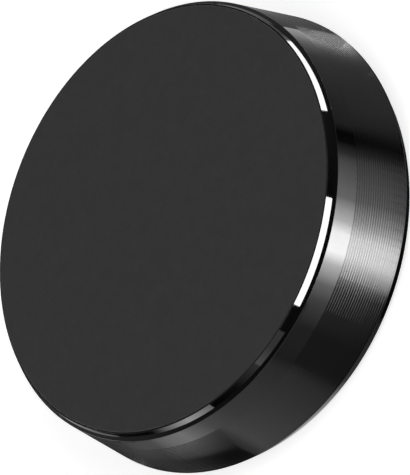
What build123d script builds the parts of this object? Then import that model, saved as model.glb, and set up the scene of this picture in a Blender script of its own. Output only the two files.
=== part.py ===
from build123d import *
from math import pi, sin
import os

# A round stick-on magnetic phone holder, lying on its back with its face up, in millimetres.
# Z is the turning axis, and the origin is the centre of the adhesive face.

# Turned housing, outside
rear_diameter = 40.0
side_flare = 1.33
chamfer_height = 1.1
chamfer_width = 0.52
shoulder_width = 0.3
shoulder_drop = 0.145
lip_height = 0.555
lip_lean = 0.18
lip_crest = 0.06

# Turned housing, inside
side_wall = 1.8
rear_rim = 1.2
front_wall = 0.6

# Face pad and its film
pad_thickness = 0.8
pad_proud = 0.05
pad_clearance = 0.05
pad_edge = 0.1
film_thickness = 0.15
film_margin = 0.5

# Magnets, their carrier and the steel plate behind them
magnet_count = 6
magnet_thickness = 3.0
pocket_clearance = 0.1
pocket_rim = 1.0
pocket_web = 3.47
hole_web = 3.0
yoke_thickness = 1.2

# Moulded base plate
base_thickness = 1.2
spigot_height = 1.9
spigot_wall = 1.2
hub_diameter = 9.0
hub_wall = 1.2
rib_width = 1.0
pin_count = 3
pin_diameter = 2.0
pin_tip_gap = 1.0
pin_lead = 0.4
pin_clearance = 0.12
pin_inset = 2.4
fit_clearance = 0.1

# Foam tape
tape_thickness = 1.0
tape_recess = 0.2
tape_margin = 0.5
tape_clearance = 0.1

# Levels, from the adhesive face up
rear_z = tape_thickness - tape_recess
seat_z = rear_z + base_thickness
yoke_z = seat_z + spigot_height
magnet_z = yoke_z + yoke_thickness
cavity_z = magnet_z + magnet_thickness
recess_z = cavity_z + front_wall
pad_z = recess_z + film_thickness
crest_z = pad_z + pad_thickness - pad_proud
lip_foot_z = crest_z - lip_height
side_top_z = lip_foot_z - shoulder_drop
side_foot_z = rear_z + chamfer_height

# Radii
rear_radius = rear_diameter / 2
front_radius = rear_radius - side_flare
rim_radius = rear_radius - chamfer_width
seat_radius = rim_radius - rear_rim
bore_radius = front_radius - side_wall
lip_foot_radius = front_radius - shoulder_width
crest_radius = lip_foot_radius - lip_lean
recess_radius = crest_radius - lip_crest
pad_radius = recess_radius - pad_clearance
flange_radius = seat_radius - fit_clearance
core_radius = bore_radius - fit_clearance
tape_seat_radius = flange_radius - tape_margin
spacing_share = sin(pi / magnet_count)
pocket_radius = ((core_radius - pocket_rim) * spacing_share - pocket_web / 2) / (1 + spacing_share)
magnet_radius = pocket_radius - pocket_clearance
magnet_circle = core_radius - pocket_rim - pocket_radius
pin_radius = pin_diameter / 2
pin_hole_radius = pin_radius + pin_clearance
pin_circle = core_radius - pin_inset
magnet_step = 360 / magnet_count
hole_radius = magnet_circle - pocket_radius - hole_web


def turned(points):
    """A solid of revolution about Z from its half section, given as (radius, height) points."""
    section = make_face(Polyline(*[(radius, 0, height) for radius, height in points], close=True))
    return revolve(section, Axis.Z)


def disc(radius, foot, top):
    """A plain disc on the axis between two heights."""
    return Pos(0, 0, foot) * Cylinder(radius, top - foot, align=(Align.CENTER, Align.CENTER, Align.MIN))


def housing():
    """Aluminium body turned in one piece, open behind: lip, shoulder, flared side and chamfer. The fine
    lines that the tool leaves round the side are its finish, too shallow to count as form."""
    face_recess = [
        (0, recess_z),
        (recess_radius, recess_z),
        (recess_radius, crest_z),
        (crest_radius, crest_z),
    ]
    outside = [
        (lip_foot_radius, lip_foot_z),
        (front_radius, side_top_z),
        (rear_radius, side_foot_z),
        (rim_radius, rear_z),
    ]
    inside = [
        (seat_radius, rear_z),
        (seat_radius, seat_z),
        (bore_radius, seat_z),
        (bore_radius, cavity_z),
        (0, cavity_z),
    ]
    return turned(face_recess + outside + inside)


def face_pad():
    """Soft disc let into the lip, standing a hair above it so that the phone never meets metal."""
    top = pad_z + pad_thickness
    return turned([
        (0, pad_z),
        (pad_radius, pad_z),
        (pad_radius, top - pad_edge),
        (pad_radius - pad_edge, top),
        (0, top),
    ])


def pad_film():
    """Double-sided film under the pad, cut a little smaller so that none squeezes out."""
    return disc(pad_radius - film_margin, recess_z, pad_z)


def magnet_places():
    """Places of the magnets in their ring."""
    return PolarLocations(magnet_circle, magnet_count)


def between_place(index):
    """Turn about the axis to the place between one magnet and the next."""
    return Rot(0, 0, (index + 0.5) * magnet_step)


def pin_places():
    """Places of the locating pins, spread round the places between the magnets."""
    return [
        between_place(round(i * magnet_count / pin_count)) * Pos(pin_circle, 0, 0)
        for i in range(pin_count)
    ]


def magnet():
    """One plated neodymium disc, at the centre."""
    return disc(magnet_radius, magnet_z, cavity_z)


def magnet_carrier():
    """Moulded disc with a round pocket for each magnet and a cored hole between each pair."""
    body = disc(core_radius, magnet_z, cavity_z) - disc(hole_radius, magnet_z, cavity_z)
    body -= magnet_places() * disc(pocket_radius, magnet_z, cavity_z)
    cored_hole = Pos(pin_circle, 0, 0) * disc(pin_hole_radius, magnet_z, cavity_z)
    for i in range(magnet_count):
        body -= between_place(i) * cored_hole
    return body


def yoke_plate():
    """Punched steel disc behind the magnets, holed for the locating pins."""
    body = disc(core_radius, yoke_z, magnet_z)
    for place in pin_places():
        body -= place * disc(pin_hole_radius, yoke_z, magnet_z)
    return body


def base_ribs():
    """Radial ribs from the hub to the spigot, one in line with each place between two magnets."""
    reach = core_radius - spigot_wall / 2
    start = hub_diameter / 2 - hub_wall / 2
    rib = Box(reach - start, rib_width, spigot_height, align=(Align.MIN, Align.CENTER, Align.MIN))
    return [between_place(i) * Pos(start, 0, seat_z) * rib for i in range(magnet_count)]


def locating_pin():
    """One locating pin, at the centre, its tip tapered to find the holes."""
    tip_z = cavity_z - pin_tip_gap
    return turned([
        (0, seat_z),
        (pin_radius, seat_z),
        (pin_radius, tip_z - pin_lead),
        (pin_radius - pin_lead, tip_z),
        (0, tip_z),
    ])


def base_plate():
    """Moulded plate that closes the housing: flange, spigot, hub, ribs and locating pins."""
    plate = disc(flange_radius, rear_z, seat_z) - disc(tape_seat_radius, rear_z, rear_z + tape_recess)
    spigot = disc(core_radius, seat_z, yoke_z) - disc(core_radius - spigot_wall, seat_z, yoke_z)
    hub = disc(hub_diameter / 2, seat_z, yoke_z) - disc(hub_diameter / 2 - hub_wall, seat_z, yoke_z)
    pins = [place * locating_pin() for place in pin_places()]
    return plate + spigot + hub + base_ribs() + pins


def mounting_tape():
    """Foam adhesive disc seated in the shallow recess of the base plate."""
    return disc(tape_seat_radius - tape_clearance, 0, tape_thickness)


nodes = {
    "housing": housing(),
    "face_pad": face_pad(),
    "pad_film": pad_film(),
    "magnet_carrier": magnet_carrier(),
    "yoke_plate": yoke_plate(),
    "base_plate": base_plate(),
    "mounting_tape": mounting_tape(),
}
for number, place in enumerate(magnet_places(), start=1):
    nodes[f"magnet_{number}"] = place * magnet()

os.makedirs("parts", exist_ok=True)
for name, solid in nodes.items():
    export_step(solid, f"parts/{name}.step")
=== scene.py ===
import bpy
import math
import random
from mathutils import Matrix, Vector


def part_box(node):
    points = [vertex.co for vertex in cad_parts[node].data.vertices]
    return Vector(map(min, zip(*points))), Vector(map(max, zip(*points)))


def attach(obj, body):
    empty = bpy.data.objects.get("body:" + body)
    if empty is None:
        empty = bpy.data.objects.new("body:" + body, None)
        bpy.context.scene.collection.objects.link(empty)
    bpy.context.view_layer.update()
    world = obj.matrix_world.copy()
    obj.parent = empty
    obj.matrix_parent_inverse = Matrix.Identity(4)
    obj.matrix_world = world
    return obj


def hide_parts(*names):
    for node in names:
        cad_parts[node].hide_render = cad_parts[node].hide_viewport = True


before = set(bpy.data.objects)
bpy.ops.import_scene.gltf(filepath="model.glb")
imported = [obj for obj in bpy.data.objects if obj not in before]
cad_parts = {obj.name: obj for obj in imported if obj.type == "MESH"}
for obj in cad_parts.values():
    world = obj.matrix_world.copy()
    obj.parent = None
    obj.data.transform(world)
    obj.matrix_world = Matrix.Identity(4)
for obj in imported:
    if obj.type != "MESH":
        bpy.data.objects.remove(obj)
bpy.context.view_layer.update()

MM = 0.001

# Housing, outside, in millimetres
side_flare = 1.33
chamfer_height = 1.1
chamfer_width = 0.52
shoulder_width = 0.3
shoulder_drop = 0.145
lip_height = 0.555
lip_lean = 0.18
lip_crest = 0.06
edge_round = 0.03
fine_round = 0.015

# Fine turned lines on the side
smooth_band = 1.9
rear_band = 0.12
line_pitch = 0.235
line_front_depth = 0.0065
line_rear_depth = 0.0175
line_unevenness = 0.05
line_seed = 5
band_hold = 0.02

# Housing, inside
side_wall = 1.8
rear_rim = 1.2
base_thickness = 1.2
front_wall = 0.6
film_thickness = 0.15

# Pad and tape
pad_round = 0.1
pad_foot_round = 0.05
tape_bulge = 0.12
tape_round = 0.06
tape_waist_round = 0.3

# Fineness of the meshes: steps round the axis, points to a turned line and to a rounded corner, how many
# roundings beside a corner its flats are held, and the angle in degrees from which an edge is sharp
turn_steps = 320
line_samples = 8
round_steps = 4
round_hold = 1.5
sharp_angle = 35

# Blender's noise keeps mostly between these two values, and its wave texture repeats every wave_period
# units at scale 1
noise_low = 0.3
noise_high = 0.7
wave_period = math.pi / 10

# Black anodised metal mirrors less than bare metal at a grazing angle
black_edge = (0.6, 0.6, 0.6, 1)

# Floor: half its width in metres, and the glow that makes the background white
floor_half = 2.0
floor_glow = 0.6

# Strip lights on the floor: degrees of azimuth to a step, and the heights of the strips and of their fins
card_step = 2
card_height = 0.1
fin_height = 0.6

# How far the strips reach inwards and outwards past what their metal mirrors, in widths of the strip
band_spill = (0.12, 0.2)
line_spill = (0.2, -0.05)
far_line_spill = (0, -0.05)
lip_spill = (0.6, 0.6)
rim_spill = (0.5, 0.5)
no_spill = (0, 0)

# Height above the side's foot where the far left strip starts
far_line_lift = 1.2

# Degrees that the lines' flanks lean beyond the side, where their strips start and where they all end
flank_tilt = 4.4
dark_flank_tilt = 2.5
right_flank_tilt = 3.6
last_flank_tilt = 8.0

# Degrees beyond the side's lean at which the lowest and the highest strip of the shine end
shine_foot_tilt = -13.0
shine_top_tilt = 3.0

# Strips behind the object: where they start, where they stand up, how high, and the share of their half
# width up to which they are full
rear_near = 45
rear_far = 300
rear_top = 90
rear_full = 0.6

# The photograph's view: its height and its lens in pixels, the sensor's width in millimetres, the
# camera's lean and roll, and where the middle of the face lies before the camera
image_height = 475
lens_pixels = 2137.0
sensor_width = 36
camera_elevation = math.radians(44.9)
camera_roll = math.radians(-69.07)
face_right = -4.25
face_down = -1.86
face_away = 175.0


def node_extent(node):
    """Radius, foot and top of a node that is round about Z, in millimetres."""
    low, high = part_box(node)
    return high[0] / MM, low[2] / MM, high[2] / MM


rear_radius, rear_z, crest_z = node_extent("housing")
pad_radius, pad_z, pad_top = node_extent("face_pad")
tape_radius, tape_foot, tape_top = node_extent("mounting_tape")

front_radius = rear_radius - side_flare
lip_foot_radius = front_radius - shoulder_width
crest_radius = lip_foot_radius - lip_lean
recess_radius = crest_radius - lip_crest
lip_foot_z = crest_z - lip_height
side_top_z = lip_foot_z - shoulder_drop
side_foot_z = rear_z + chamfer_height
band_foot_z = side_top_z - smooth_band
rim_radius = rear_radius - chamfer_width
seat_radius = rim_radius - rear_rim
seat_z = rear_z + base_thickness
bore_radius = front_radius - side_wall
side_lean = math.degrees(math.atan2(side_flare, side_top_z - side_foot_z))
lip_tilt = math.degrees(math.atan2(lip_lean, lip_height))
chamfer_lean = -math.degrees(math.atan2(chamfer_width, chamfer_height))
recess_z = pad_z - film_thickness
cavity_z = recess_z - front_wall


def side_radius(height):
    """Radius of the flared side at a height."""
    climb = (height - side_foot_z) / (side_top_z - side_foot_z)
    return rear_radius + (front_radius - rear_radius) * climb


def leaning(point, tilt):
    """A profile point whose metal leans some degrees more."""
    radius, height, lean = point
    return radius, height, lean + tilt


# Profile points where a strip starts or ends in the metal: radius, height and lean in degrees
side_foot = (rear_radius, side_foot_z, side_lean)
far_line_foot = (side_radius(side_foot_z + far_line_lift), side_foot_z + far_line_lift, side_lean)
band_foot = (side_radius(band_foot_z), band_foot_z, side_lean)
side_top = (front_radius, side_top_z, side_lean)
lip_foot = (lip_foot_radius, lip_foot_z, lip_tilt)
crest = (crest_radius, crest_z, lip_tilt)
rim = (rim_radius, rear_z, chamfer_lean)
chamfer_top = (rear_radius, side_foot_z, chamfer_lean)


# Materials

def new_material(name, **sockets):
    """A material with one Principled shader, whose plain sockets are set by name."""
    material = bpy.data.materials.new(name)
    material.use_nodes = True
    shader = material.node_tree.nodes["Principled BSDF"]
    for socket, value in sockets.items():
        shader.inputs[socket.replace("_", " ")].default_value = value
    return material, material.node_tree, shader


def add_node(tree, kind, **values):
    """A node of a kind, with its settings and input values."""
    node = tree.nodes.new(kind)
    for name, value in values.items():
        if hasattr(node, name):
            setattr(node, name, value)
        else:
            node.inputs[name].default_value = value
    return node


def object_point(tree):
    """The shaded point in the part's own frame, in metres."""
    return add_node(tree, "ShaderNodeTexCoord").outputs["Object"]


def noise(tree, point, scale, detail=3.0):
    """Even noise over the part, scale in cells to the metre."""
    node = add_node(tree, "ShaderNodeTexNoise", Scale=scale, Detail=detail)
    tree.links.new(point, node.inputs["Vector"])
    return node.outputs["Fac"]


def height_noise(tree, point, scale, detail=3.0):
    """Noise that changes with height alone, so that it runs round the part as a turning tool's marks do."""
    split = add_node(tree, "ShaderNodeSeparateXYZ")
    tree.links.new(point, split.inputs["Vector"])
    node = add_node(tree, "ShaderNodeTexNoise", noise_dimensions="1D", Scale=scale, Detail=detail)
    tree.links.new(split.outputs["Z"], node.inputs["W"])
    return node.outputs["Fac"]


def spread(tree, value, low, high):
    """A noise value mapped to run between two numbers."""
    node = add_node(tree, "ShaderNodeMapRange")
    node.inputs["From Min"].default_value = noise_low
    node.inputs["From Max"].default_value = noise_high
    node.inputs["To Min"].default_value = low
    node.inputs["To Max"].default_value = high
    tree.links.new(value, node.inputs["Value"])
    return node.outputs["Result"]


def bump(tree, shader, height, distance, strength=1.0):
    """Relief on the shader's normal, distance in metres."""
    node = add_node(tree, "ShaderNodeBump", Strength=strength, Distance=distance)
    tree.links.new(height, node.inputs["Height"])
    tree.links.new(node.outputs["Normal"], shader.inputs["Normal"])


def tint(tree, shader, value, dark, light):
    """Colour that wanders between two greys or colours with a noise value."""
    ramp = add_node(tree, "ShaderNodeValToRGB")
    ramp.color_ramp.elements[0].position = noise_low
    ramp.color_ramp.elements[0].color = (*dark, 1)
    ramp.color_ramp.elements[1].position = noise_high
    ramp.color_ramp.elements[1].color = (*light, 1)
    tree.links.new(value, ramp.inputs["Fac"])
    tree.links.new(ramp.outputs["Color"], shader.inputs["Base Color"])


def polished_black():
    """Black anodised aluminium, cut bright: the lip, the shoulder, the smooth band and the chamfer."""
    material, tree, shader = new_material("polished_black", Metallic=1.0)
    shader.inputs["Specular Tint"].default_value = black_edge
    point = object_point(tree)
    tint(tree, shader, noise(tree, point, 400), (0.027, 0.027, 0.027), (0.030, 0.030, 0.030))
    tree.links.new(spread(tree, height_noise(tree, point, 9000), 0.03, 0.06), shader.inputs["Roughness"])
    bump(tree, shader, height_noise(tree, point, 6000), 0.0000004)
    return material


def turned_black():
    """The same metal where the tool left its lines round the side."""
    material, tree, shader = new_material("turned_black", Metallic=1.0)
    shader.inputs["Specular Tint"].default_value = black_edge
    point = object_point(tree)
    tint(tree, shader, height_noise(tree, point, 7000), (0.0265, 0.0265, 0.0265), (0.0300, 0.0300, 0.0300))
    lines = add_node(tree, "ShaderNodeTexWave", bands_direction="Z", Scale=wave_period / (line_pitch * MM))
    tree.links.new(point, lines.inputs["Vector"])
    uneven = add_node(tree, "ShaderNodeMath", operation="MULTIPLY")
    tree.links.new(lines.outputs["Fac"], uneven.inputs[0])
    tree.links.new(spread(tree, height_noise(tree, point, 5000, 0), 0.5, 1), uneven.inputs[1])
    roughness = add_node(tree, "ShaderNodeMapRange", interpolation_type="SMOOTHSTEP")
    roughness.inputs["From Min"].default_value = 0.25
    roughness.inputs["From Max"].default_value = 0.6
    roughness.inputs["To Min"].default_value = 0.07
    roughness.inputs["To Max"].default_value = 0.16
    tree.links.new(uneven.outputs[0], roughness.inputs["Value"])
    tree.links.new(roughness.outputs["Result"], shader.inputs["Roughness"])
    return material


def soft_grey():
    """Matte dark grey silicone with a fine moulded grain."""
    material, tree, shader = new_material("soft_grey")
    shader.inputs["Specular IOR Level"].default_value = 0.2
    point = object_point(tree)
    tint(tree, shader, noise(tree, point, 900, 5.0), (0.0308, 0.0308, 0.0306), (0.0350, 0.0350, 0.0348))
    tree.links.new(spread(tree, noise(tree, point, 3000), 0.72, 0.85), shader.inputs["Roughness"])
    bump(tree, shader, noise(tree, point, 12000, 2.0), 0.000006)
    return material


def moulded_black():
    """Black moulded plastic with a spark-eroded grain."""
    material, tree, shader = new_material("moulded_black")
    point = object_point(tree)
    tint(tree, shader, noise(tree, point, 700), (0.018, 0.018, 0.019), (0.026, 0.026, 0.028))
    tree.links.new(spread(tree, noise(tree, point, 2500), 0.45, 0.6), shader.inputs["Roughness"])
    bump(tree, shader, noise(tree, point, 9000, 4.0), 0.00001)
    return material


def foam():
    """Dark acrylic foam with fine closed cells."""
    material, tree, shader = new_material("foam")
    shader.inputs["Specular IOR Level"].default_value = 0.35
    point = object_point(tree)
    cells = add_node(tree, "ShaderNodeTexVoronoi", Scale=7000)
    tree.links.new(point, cells.inputs["Vector"])
    tint(tree, shader, noise(tree, point, 2500, 4.0), (0.055, 0.055, 0.058), (0.085, 0.085, 0.09))
    tree.links.new(spread(tree, noise(tree, point, 4000), 0.55, 0.8), shader.inputs["Roughness"])
    bump(tree, shader, cells.outputs["Distance"], 0.00003)
    return material


def plated(name, dark, light):
    """Plated steel with a slightly wandering shine."""
    material, tree, shader = new_material(name, Metallic=1.0)
    point = object_point(tree)
    tint(tree, shader, noise(tree, point, 800), dark, light)
    tree.links.new(spread(tree, noise(tree, point, 3000, 5.0), 0.16, 0.32), shader.inputs["Roughness"])
    bump(tree, shader, noise(tree, point, 5000, 4.0), 0.000003)
    return material


def clear_film():
    """Translucent double-sided film."""
    material, tree, shader = new_material("clear_film")
    shader.inputs["Transmission Weight"].default_value = 0.6
    point = object_point(tree)
    tint(tree, shader, noise(tree, point, 600), (0.66, 0.65, 0.60), (0.78, 0.77, 0.73))
    tree.links.new(spread(tree, noise(tree, point, 2000), 0.3, 0.5), shader.inputs["Roughness"])
    return material


# Meshes

def soften(section):
    """Rounds the marked corners of a section of (radius, height, finish, round) points, and holds the flats
    beside them with one more point each, so that they shade flat."""
    softened = []
    for i, (radius, height, finish, rounding) in enumerate(section):
        corner = Vector((radius, height))
        if not rounding:
            softened.append((radius, height, finish))
            continue
        before = Vector(section[i - 1][:2]) - corner
        after = Vector(section[(i + 1) % len(section)][:2]) - corner
        start = before.normalized() * rounding
        end = after.normalized() * rounding
        shares = [step / round_steps for step in range(round_steps + 1)]
        curve = [corner + start * (1 - share) ** 2 + end * share ** 2 for share in shares]
        points = [corner + start * round_hold, *curve, corner + end * round_hold]
        softened += [(point.x, point.y, finish) for point in points]
    return softened


def lathe(name, section, finishes):
    """A closed mesh turned about Z from a section of (radius, height, finish) points in millimetres."""
    vertices = []
    rings = []
    for radius, height, _ in section:
        if radius == 0:
            rings.append([len(vertices)] * turn_steps)
            vertices.append((0, 0, height * MM))
            continue
        rings.append(range(len(vertices), len(vertices) + turn_steps))
        for step in range(turn_steps):
            angle = 2 * math.pi * step / turn_steps
            vertices.append((radius * math.cos(angle) * MM, radius * math.sin(angle) * MM, height * MM))
    faces = []
    face_finishes = []
    for i, (_, _, finish) in enumerate(section):
        ring = rings[i]
        following = rings[(i + 1) % len(rings)]
        if ring[0] == ring[1] and following[0] == following[1]:
            continue
        for step in range(turn_steps):
            onward = (step + 1) % turn_steps
            corners = [ring[step], following[step], following[onward], ring[onward]]
            faces.append(tuple(dict.fromkeys(corners)))
            face_finishes.append(finish)
    mesh = bpy.data.meshes.new(name)
    mesh.from_pydata(vertices, [], faces)
    for material in finishes:
        mesh.materials.append(material)
    mesh.polygons.foreach_set("material_index", face_finishes)
    mesh.shade_smooth()
    mesh.set_sharp_from_angle(angle=math.radians(sharp_angle))
    mesh.update()
    piece = bpy.data.objects.new(name, mesh)
    bpy.context.collection.objects.link(piece)
    return piece


# Pieces

def turned_lines(finish):
    """Section of the fine lines, a shallow wave for each pass of the tool, cut deeper towards the rear."""
    count = int((band_foot_z - side_foot_z - rear_band) / line_pitch)
    chance = random.Random(line_seed)
    points = []
    for line in range(count):
        growth = (line_rear_depth - line_front_depth) * line / count
        depth = (line_front_depth + growth) * chance.uniform(1 - line_unevenness, 1 + line_unevenness)
        for sample in range(line_samples):
            share = sample / line_samples
            height = band_foot_z - (line + share) * line_pitch
            cut = depth * (1 - math.cos(2 * math.pi * share)) / 2
            points.append((side_radius(height) - cut, height, finish, 0))
    return points


def make_housing():
    """The turned body: raised lip, shoulder, flared side with its lines, chamfer and hollow back."""
    polished = 0
    turned = 1
    section = [
        (0, recess_z, polished, 0),
        (recess_radius, recess_z, polished, 0),
        (recess_radius, crest_z, polished, fine_round),
        (crest_radius, crest_z, polished, fine_round),
        (lip_foot_radius, lip_foot_z, polished, 0),
        (front_radius, side_top_z, polished, fine_round),
        (side_radius(band_foot_z + band_hold), band_foot_z + band_hold, polished, 0),
        *turned_lines(turned),
        (rear_radius, side_foot_z, polished, edge_round),
        (rim_radius, rear_z, polished, fine_round),
        (seat_radius, rear_z, polished, 0),
        (seat_radius, seat_z, polished, 0),
        (bore_radius, seat_z, polished, 0),
        (bore_radius, cavity_z, polished, 0),
        (0, cavity_z, polished, 0),
    ]
    piece = lathe("turned_housing", soften(section), [polished_black(), turned_black()])
    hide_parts("housing")
    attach(piece, "root")


def make_pad():
    """The soft disc on the face, its upper edge rounded."""
    section = [
        (0, pad_z, 0, 0),
        (pad_radius, pad_z, 0, pad_foot_round),
        (pad_radius, pad_top, 0, pad_round),
        (0, pad_top, 0, 0),
    ]
    piece = lathe("soft_pad", soften(section), [soft_grey()])
    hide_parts("face_pad")
    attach(piece, "root")


def make_tape():
    """The foam disc behind, its cut edge drawn in a little at the middle."""
    middle = (tape_foot + tape_top) / 2
    section = [
        (0, tape_foot, 0, 0),
        (tape_radius, tape_foot, 0, tape_round),
        (tape_radius - tape_bulge, middle, 0, tape_waist_round),
        (tape_radius, tape_top, 0, tape_round),
        (0, tape_top, 0, 0),
    ]
    piece = lathe("foam_tape", soften(section), [foam()])
    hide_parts("mounting_tape")
    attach(piece, "root")


def dress(node, material):
    """Gives a node that keeps its own mesh a finished material."""
    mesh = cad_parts[node].data
    mesh.materials.clear()
    mesh.materials.append(material)


def dress_inner_pieces():
    """Materials of the pieces that keep their own meshes."""
    black = moulded_black()
    dress("base_plate", black)
    dress("magnet_carrier", black)
    dress("yoke_plate", plated("zinc_steel", (0.42, 0.43, 0.45), (0.54, 0.55, 0.57)))
    dress("pad_film", clear_film())
    nickel = plated("nickel", (0.56, 0.54, 0.50), (0.68, 0.66, 0.62))
    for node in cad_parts:
        if node.startswith("magnet_") and node != "magnet_carrier":
            dress(node, nickel)


# Camera, floor and light

def make_camera():
    """The camera of the photograph, rolled so that the back of the puck points right and a little down.
    Returns its place in millimetres."""
    forward = Vector((0, math.cos(camera_elevation), -math.sin(camera_elevation)))
    level = Vector((1, 0, 0))
    raised = Vector((0, math.sin(camera_elevation), math.cos(camera_elevation)))
    right = math.cos(camera_roll) * level + math.sin(camera_roll) * raised
    up = -math.sin(camera_roll) * level + math.cos(camera_roll) * raised
    face = Vector((0, 0, crest_z))
    place = face - (face_away * forward + face_right * right - face_down * up)
    data = bpy.data.cameras.new("camera")
    data.sensor_width = sensor_width
    data.lens = sensor_width * lens_pixels / image_height
    data.clip_start = 0.01
    data.clip_end = 10
    camera = bpy.data.objects.new("camera", data)
    turn = Matrix((right, up, -forward)).transposed().to_4x4()
    camera.matrix_world = Matrix.Translation(place * MM) @ turn
    bpy.context.collection.objects.link(camera)
    bpy.context.scene.camera = camera
    return place


def make_floor():
    """A plain pale floor that keeps the object's shadow. Its glow makes the background white, also where
    shiny metal or clear film shows it, and lights nothing else."""
    mesh = bpy.data.meshes.new("floor")
    signs = [(-1, -1), (1, -1), (1, 1), (-1, 1)]
    mesh.from_pydata([(x * floor_half, y * floor_half, 0) for x, y in signs], [], [(0, 1, 2, 3)])
    floor = bpy.data.objects.new("floor", mesh)
    bpy.context.collection.objects.link(floor)
    material, tree, shader = new_material("floor", Roughness=0.9)
    shader.inputs["Base Color"].default_value = (0.8, 0.8, 0.8, 1)
    shader.inputs["Specular IOR Level"].default_value = 0
    path = add_node(tree, "ShaderNodeLightPath")
    seen = add_node(tree, "ShaderNodeMath", operation="MAXIMUM")
    tree.links.new(path.outputs["Is Camera Ray"], seen.inputs[0])
    tree.links.new(path.outputs["Is Glossy Ray"], seen.inputs[1])
    seen_through = add_node(tree, "ShaderNodeMath", operation="MAXIMUM")
    tree.links.new(seen.outputs[0], seen_through.inputs[0])
    tree.links.new(path.outputs["Is Transmission Ray"], seen_through.inputs[1])
    glow = add_node(tree, "ShaderNodeMath", operation="MULTIPLY")
    glow.inputs[1].default_value = floor_glow
    tree.links.new(seen_through.outputs[0], glow.inputs[0])
    shader.inputs["Emission Color"].default_value = (1, 1, 1, 1)
    tree.links.new(glow.outputs[0], shader.inputs["Emission Strength"])
    mesh.materials.append(material)


def make_world(walls, ceiling):
    """A plain room with pale walls and a darker ceiling."""
    world = bpy.data.worlds.new("room")
    bpy.context.scene.world = world
    world.use_nodes = True
    tree = world.node_tree
    split = add_node(tree, "ShaderNodeSeparateXYZ")
    direction = add_node(tree, "ShaderNodeTexCoord")
    tree.links.new(direction.outputs["Generated"], split.inputs["Vector"])
    fade = add_node(tree, "ShaderNodeMapRange", interpolation_type="SMOOTHSTEP")
    fade.inputs["To Min"].default_value = walls
    fade.inputs["To Max"].default_value = ceiling
    tree.links.new(split.outputs["Z"], fade.inputs["Value"])
    background = tree.nodes["Background"]
    background.inputs["Color"].default_value = (1, 1, 1, 1)
    tree.links.new(fade.outputs["Result"], background.inputs["Strength"])


def around(azimuth, elevation, distance):
    """A place about the object: azimuth from the camera's side towards +X, in degrees and millimetres."""
    turn = math.radians(azimuth)
    rise = math.radians(elevation)
    return Vector((
        distance * math.sin(turn) * math.cos(rise),
        -distance * math.cos(turn) * math.cos(rise),
        distance * math.sin(rise),
    ))


def softbox(name, azimuth, elevation, distance, size, radiance):
    """A large square lamp that looks at the object, with the brightness of its face."""
    data = bpy.data.lights.new(name, "AREA")
    data.size = size * MM
    data.energy = radiance * math.pi * data.size ** 2
    lamp = bpy.data.objects.new(name, data)
    place = around(azimuth, elevation, distance)
    lamp.location = place * MM
    lamp.rotation_mode = "QUATERNION"
    lamp.rotation_quaternion = (-place).to_track_quat("-Z", "Y")
    lamp.visible_camera = False
    bpy.context.collection.objects.link(lamp)


def mirrored_spot(azimuth, radius, height, lean):
    """Where the strips' level shows in the metal for the camera, at a place on the metal whose normal
    leans up by some degrees."""
    spot = around(azimuth, 0, radius) + Vector((0, 0, height))
    normal = around(azimuth, lean, 1)
    ray = (spot - camera_place).normalized()
    out = ray - 2 * ray.dot(normal) * normal
    return spot + out * (card_height - height) / out.z


def graded_card(name, near, far, spill, stops, fins=False):
    """A strip light that lies on the floor, out of the picture, where the metal between two profile
    points mirrors it. The spill is how far it reaches past that, inwards and outwards, in its widths.
    Each stop is an azimuth on the metal and the strip's brightness there."""
    vertices = []
    glow = []
    faces = []
    for (start, dim), (end, bright) in zip(stops, stops[1:]):
        steps = max(1, round((end - start) / card_step))
        first = len(vertices)
        for i in range(steps + 1):
            share = i / steps
            azimuth = start + (end - start) * share
            inner = mirrored_spot(azimuth, *near)
            outer = mirrored_spot(azimuth, *far)
            vertices.append((inner + (inner - outer) * spill[0]) * MM)
            vertices.append((outer + (outer - inner) * spill[1]) * MM)
            glow += [dim + (bright - dim) * share] * 2
        for i in range(first, first + 2 * steps, 2):
            faces.append((i, i + 1, i + 3, i + 2))
    if fins:
        add_fins(vertices, glow, faces)
    add_card(name, vertices, faces, glow)


def add_fins(vertices, glow, faces):
    """Adds a low black fin across a strip at each of its steps, as in a lamp's grid. The fins hide the
    strip from metal that turns away from it."""
    raised = Vector((0, 0, fin_height * MM))
    for i in range(0, len(vertices), 2):
        inner, outer = vertices[i:i + 2]
        first = len(vertices)
        vertices += [inner, outer, outer + raised, inner + raised]
        glow += [0] * 4
        faces.append((first, first + 1, first + 2, first + 3))


def rear_card(name, azimuth, half_width, brightness):
    """A strip light behind the object, which lies on the floor and then stands up, for the metal to mirror
    when it is seen from behind. It fades out at both sides."""
    profile = [(rear_near, card_height), (rear_far, card_height), (rear_far, rear_top)]
    shares = [(-1, 0), (-rear_full, 1), (rear_full, 1), (1, 0)]
    vertices = []
    glow = []
    for share, strength in shares:
        for distance, height in profile:
            spot = around(azimuth + share * half_width, 0, distance) + Vector((0, 0, height))
            vertices.append(spot * MM)
            glow.append(strength * brightness)
    row = len(profile)
    faces = []
    for i in range(len(shares) - 1):
        for j in range(row - 1):
            first = i * row + j
            faces.append((first, first + row, first + row + 1, first + 1))
    add_card(name, vertices, faces, glow)


def add_card(name, vertices, faces, glow):
    """A lamp's face that only shiny things mirror, with its brightness at each vertex."""
    mesh = bpy.data.meshes.new(name)
    mesh.from_pydata(vertices, [], faces)
    mesh.attributes.new("glow", "FLOAT", "POINT").data.foreach_set("value", glow)
    mesh.materials.append(card_material())
    card = bpy.data.objects.new(name, mesh)
    card.visible_camera = False
    card.visible_diffuse = False
    card.visible_shadow = False
    bpy.context.collection.objects.link(card)


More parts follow.
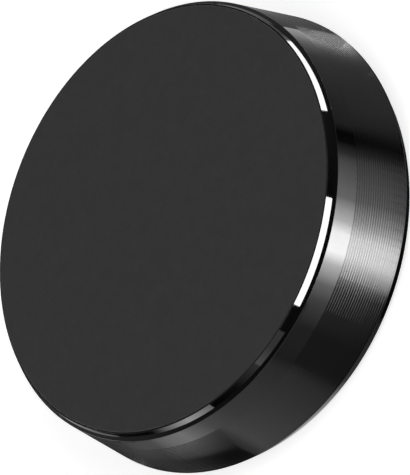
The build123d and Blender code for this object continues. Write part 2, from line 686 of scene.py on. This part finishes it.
def card_material():
    """A lamp's face whose brightness is graded over the card."""
    material = bpy.data.materials.get("card")
    if material:
        return material
    material, tree, shader = new_material("card", Roughness=1.0)
    shader.inputs["Base Color"].default_value = (0, 0, 0, 1)
    shader.inputs["Specular IOR Level"].default_value = 0
    shader.inputs["Emission Color"].default_value = (1, 1, 1, 1)
    glow = add_node(tree, "ShaderNodeAttribute", attribute_name="glow")
    tree.links.new(glow.outputs["Fac"], shader.inputs["Emission Strength"])
    return material


def light_smooth_band():
    """Strips for the smooth band between the shoulder and the lines."""
    graded_card("band_left", band_foot, side_top, band_spill, [
        (-100, 0.01), (-90, 0.04), (-80, 0.12), (-75, 0.3), (-65, 1.2), (-60, 3.2), (-55, 4.4), (-47, 2),
        (-40, 1.3), (-24, 0.8), (-21, 0.4), (-12, 0.5),
    ])
    graded_card("band_middle", band_foot, side_top, band_spill, [
        (-12, 0.5), (-5, 1.7), (-1, 4), (4, 15), (7, 32), (11.5, 31), (14.5, 15), (20, 4.3), (29, 1.8),
        (31, 0.75),
    ])
    graded_card("band_right", band_foot, side_top, band_spill, [
        (31, 0.75), (34, 0.09), (36.5, 0.06), (39, 0.45), (60, 0.85),
    ])


def light_lines():
    """Strips for the lines where they lean as the side does."""
    graded_card("line_far_left", far_line_foot, band_foot, far_line_spill, [
        (-100, 0.01), (-90, 0.04), (-82, 0.15),
    ], fins=True)
    graded_card("line_left", side_foot, band_foot, line_spill, [
        (-82, 0.15), (-75, 0.35), (-64, 0.45), (-56, 0.15), (-47.5, 0.15), (-47.5, 2.1), (-30, 1.1),
        (-24, 0.8), (-21, 0.25), (-8, 0.2),
    ], fins=True)
    graded_card("line_middle", side_foot, band_foot, line_spill, [
        (-8, 0.2), (-1, 0.25), (1, 1.2), (4, 10), (7, 19), (11, 19), (14, 10), (16, 5.8), (20, 2.4),
        (31, 1),
    ], fins=True)
    graded_card("line_right", side_foot, band_foot, line_spill, [
        (31, 0.7), (34, 0.15), (36.5, 0.09), (39, 0.45), (45, 0.75), (60, 0.75),
    ], fins=True)


def light_flanks():
    """Strips for the flanks of the lines that lean more than the side."""
    start = leaning(band_foot, flank_tilt)
    end = leaning(band_foot, last_flank_tilt)
    graded_card("flank_left", start, end, no_spill, [
        (-100, 0.02), (-80, 0.12), (-70, 0.4), (-60, 0.1), (-47.5, 0.1), (-47.5, 2.1), (-30, 1.1),
        (-24, 0.8), (-21, 0.22),
    ])
    graded_card("flank_dark", leaning(band_foot, dark_flank_tilt), end, no_spill, [
        (-21, 0.22), (-6.3, 0.18),
    ])
    graded_card("flank_middle", start, end, no_spill, [
        (-6.3, 7), (-4, 12), (-2, 20), (0, 34), (2, 34),
    ])
    graded_card("flank_right", leaning(band_foot, right_flank_tilt), end, no_spill, [
        (2, 32), (8, 34), (11, 28), (14, 12), (16, 6.5), (19, 4), (24, 2), (31, 1), (34, 0.15),
        (36.5, 0.09), (39, 0.45), (60, 0.75),
    ])


def light_shine():
    """Strips for the shine at the right end of the side, which stops at a crisp edge."""
    shine = [(60, 0.75), (64, 0.9), (66, 1.4), (68, 2.6), (72, 5.6), (72, 0.45), (80, 0.3), (100, 0.25)]
    graded_card("shine_low", leaning(side_foot, shine_foot_tilt), side_foot, no_spill, shine[:-1])
    graded_card("shine_lines", side_foot, band_foot, no_spill, shine)
    graded_card("shine_band", band_foot, side_top, no_spill, [
        (60, 0.85), (66, 1.8), (69, 2.6), (72.8, 2.6), (72.8, 0.42), (80, 0.3), (100, 0.25),
    ])
    graded_card("shine_high", side_top, leaning(side_top, shine_top_tilt), no_spill, shine)


def light_lip():
    """Strips for the lip, whose two bright arcs end sharply."""
    graded_card("lip_left", lip_foot, crest, lip_spill, [
        (-95, 0.01), (-62, 0.05), (-60, 0.8), (-50, 9.5), (-42, 4), (-42, 0.01), (-34, 0.09), (-25.5, 0.9),
        (-25.5, 2.3), (-20, 1.05), (-15.2, 1.1), (-15.2, 0.07), (-8, 0.04),
    ])
    graded_card("lip_middle", lip_foot, crest, lip_spill, [(-8, 40), (19.2, 40)])
    graded_card("lip_right", lip_foot, crest, lip_spill, [
        (19.2, 0.03), (42.2, 0.2), (42.2, 40), (66.2, 25), (67, 2.5), (70, 0.8), (90, 0.6),
    ])


def light_chamfer():
    """A strip for the chamfer at the rear, on the floor under the rim: lit from -50 to -20 degrees, and
    near black elsewhere as painted shade where the floor under the rim lies in shade.
    """
    # Most of this strip is painted shade: a near-black sheet under the rim, so that the chamfer mirrors
    # shade there and not the floor's even glow.
    graded_card("rim", rim, chamfer_top, rim_spill, [
        (-65, 0.03), (-57, 0.04), (-50, 0.25), (-35, 1), (-25, 0.9), (-20, 0.25), (-5, 0.12), (-3, 0.02),
        (65, 0.04),
    ])


def make_light():
    """Plain soft light from above, and strips on the floor for the polished metal to mirror."""
    make_world(walls=1.0, ceiling=0.1)
    softbox("key", azimuth=-38, elevation=48, distance=400, size=200, radiance=3.2)
    softbox("fill", azimuth=42, elevation=46, distance=400, size=220, radiance=2.4)
    light_smooth_band()
    light_lines()
    light_flanks()
    light_shine()
    light_lip()
    light_chamfer()
    rear_card("rear_right", azimuth=128, half_width=15, brightness=9)
    rear_card("rear_left", azimuth=232, half_width=15, brightness=14)


camera_place = make_camera()
make_floor()
make_light()
make_housing()
make_pad()
make_tape()
dress_inner_pieces()

bpy.context.scene.view_settings.view_transform = "Standard"
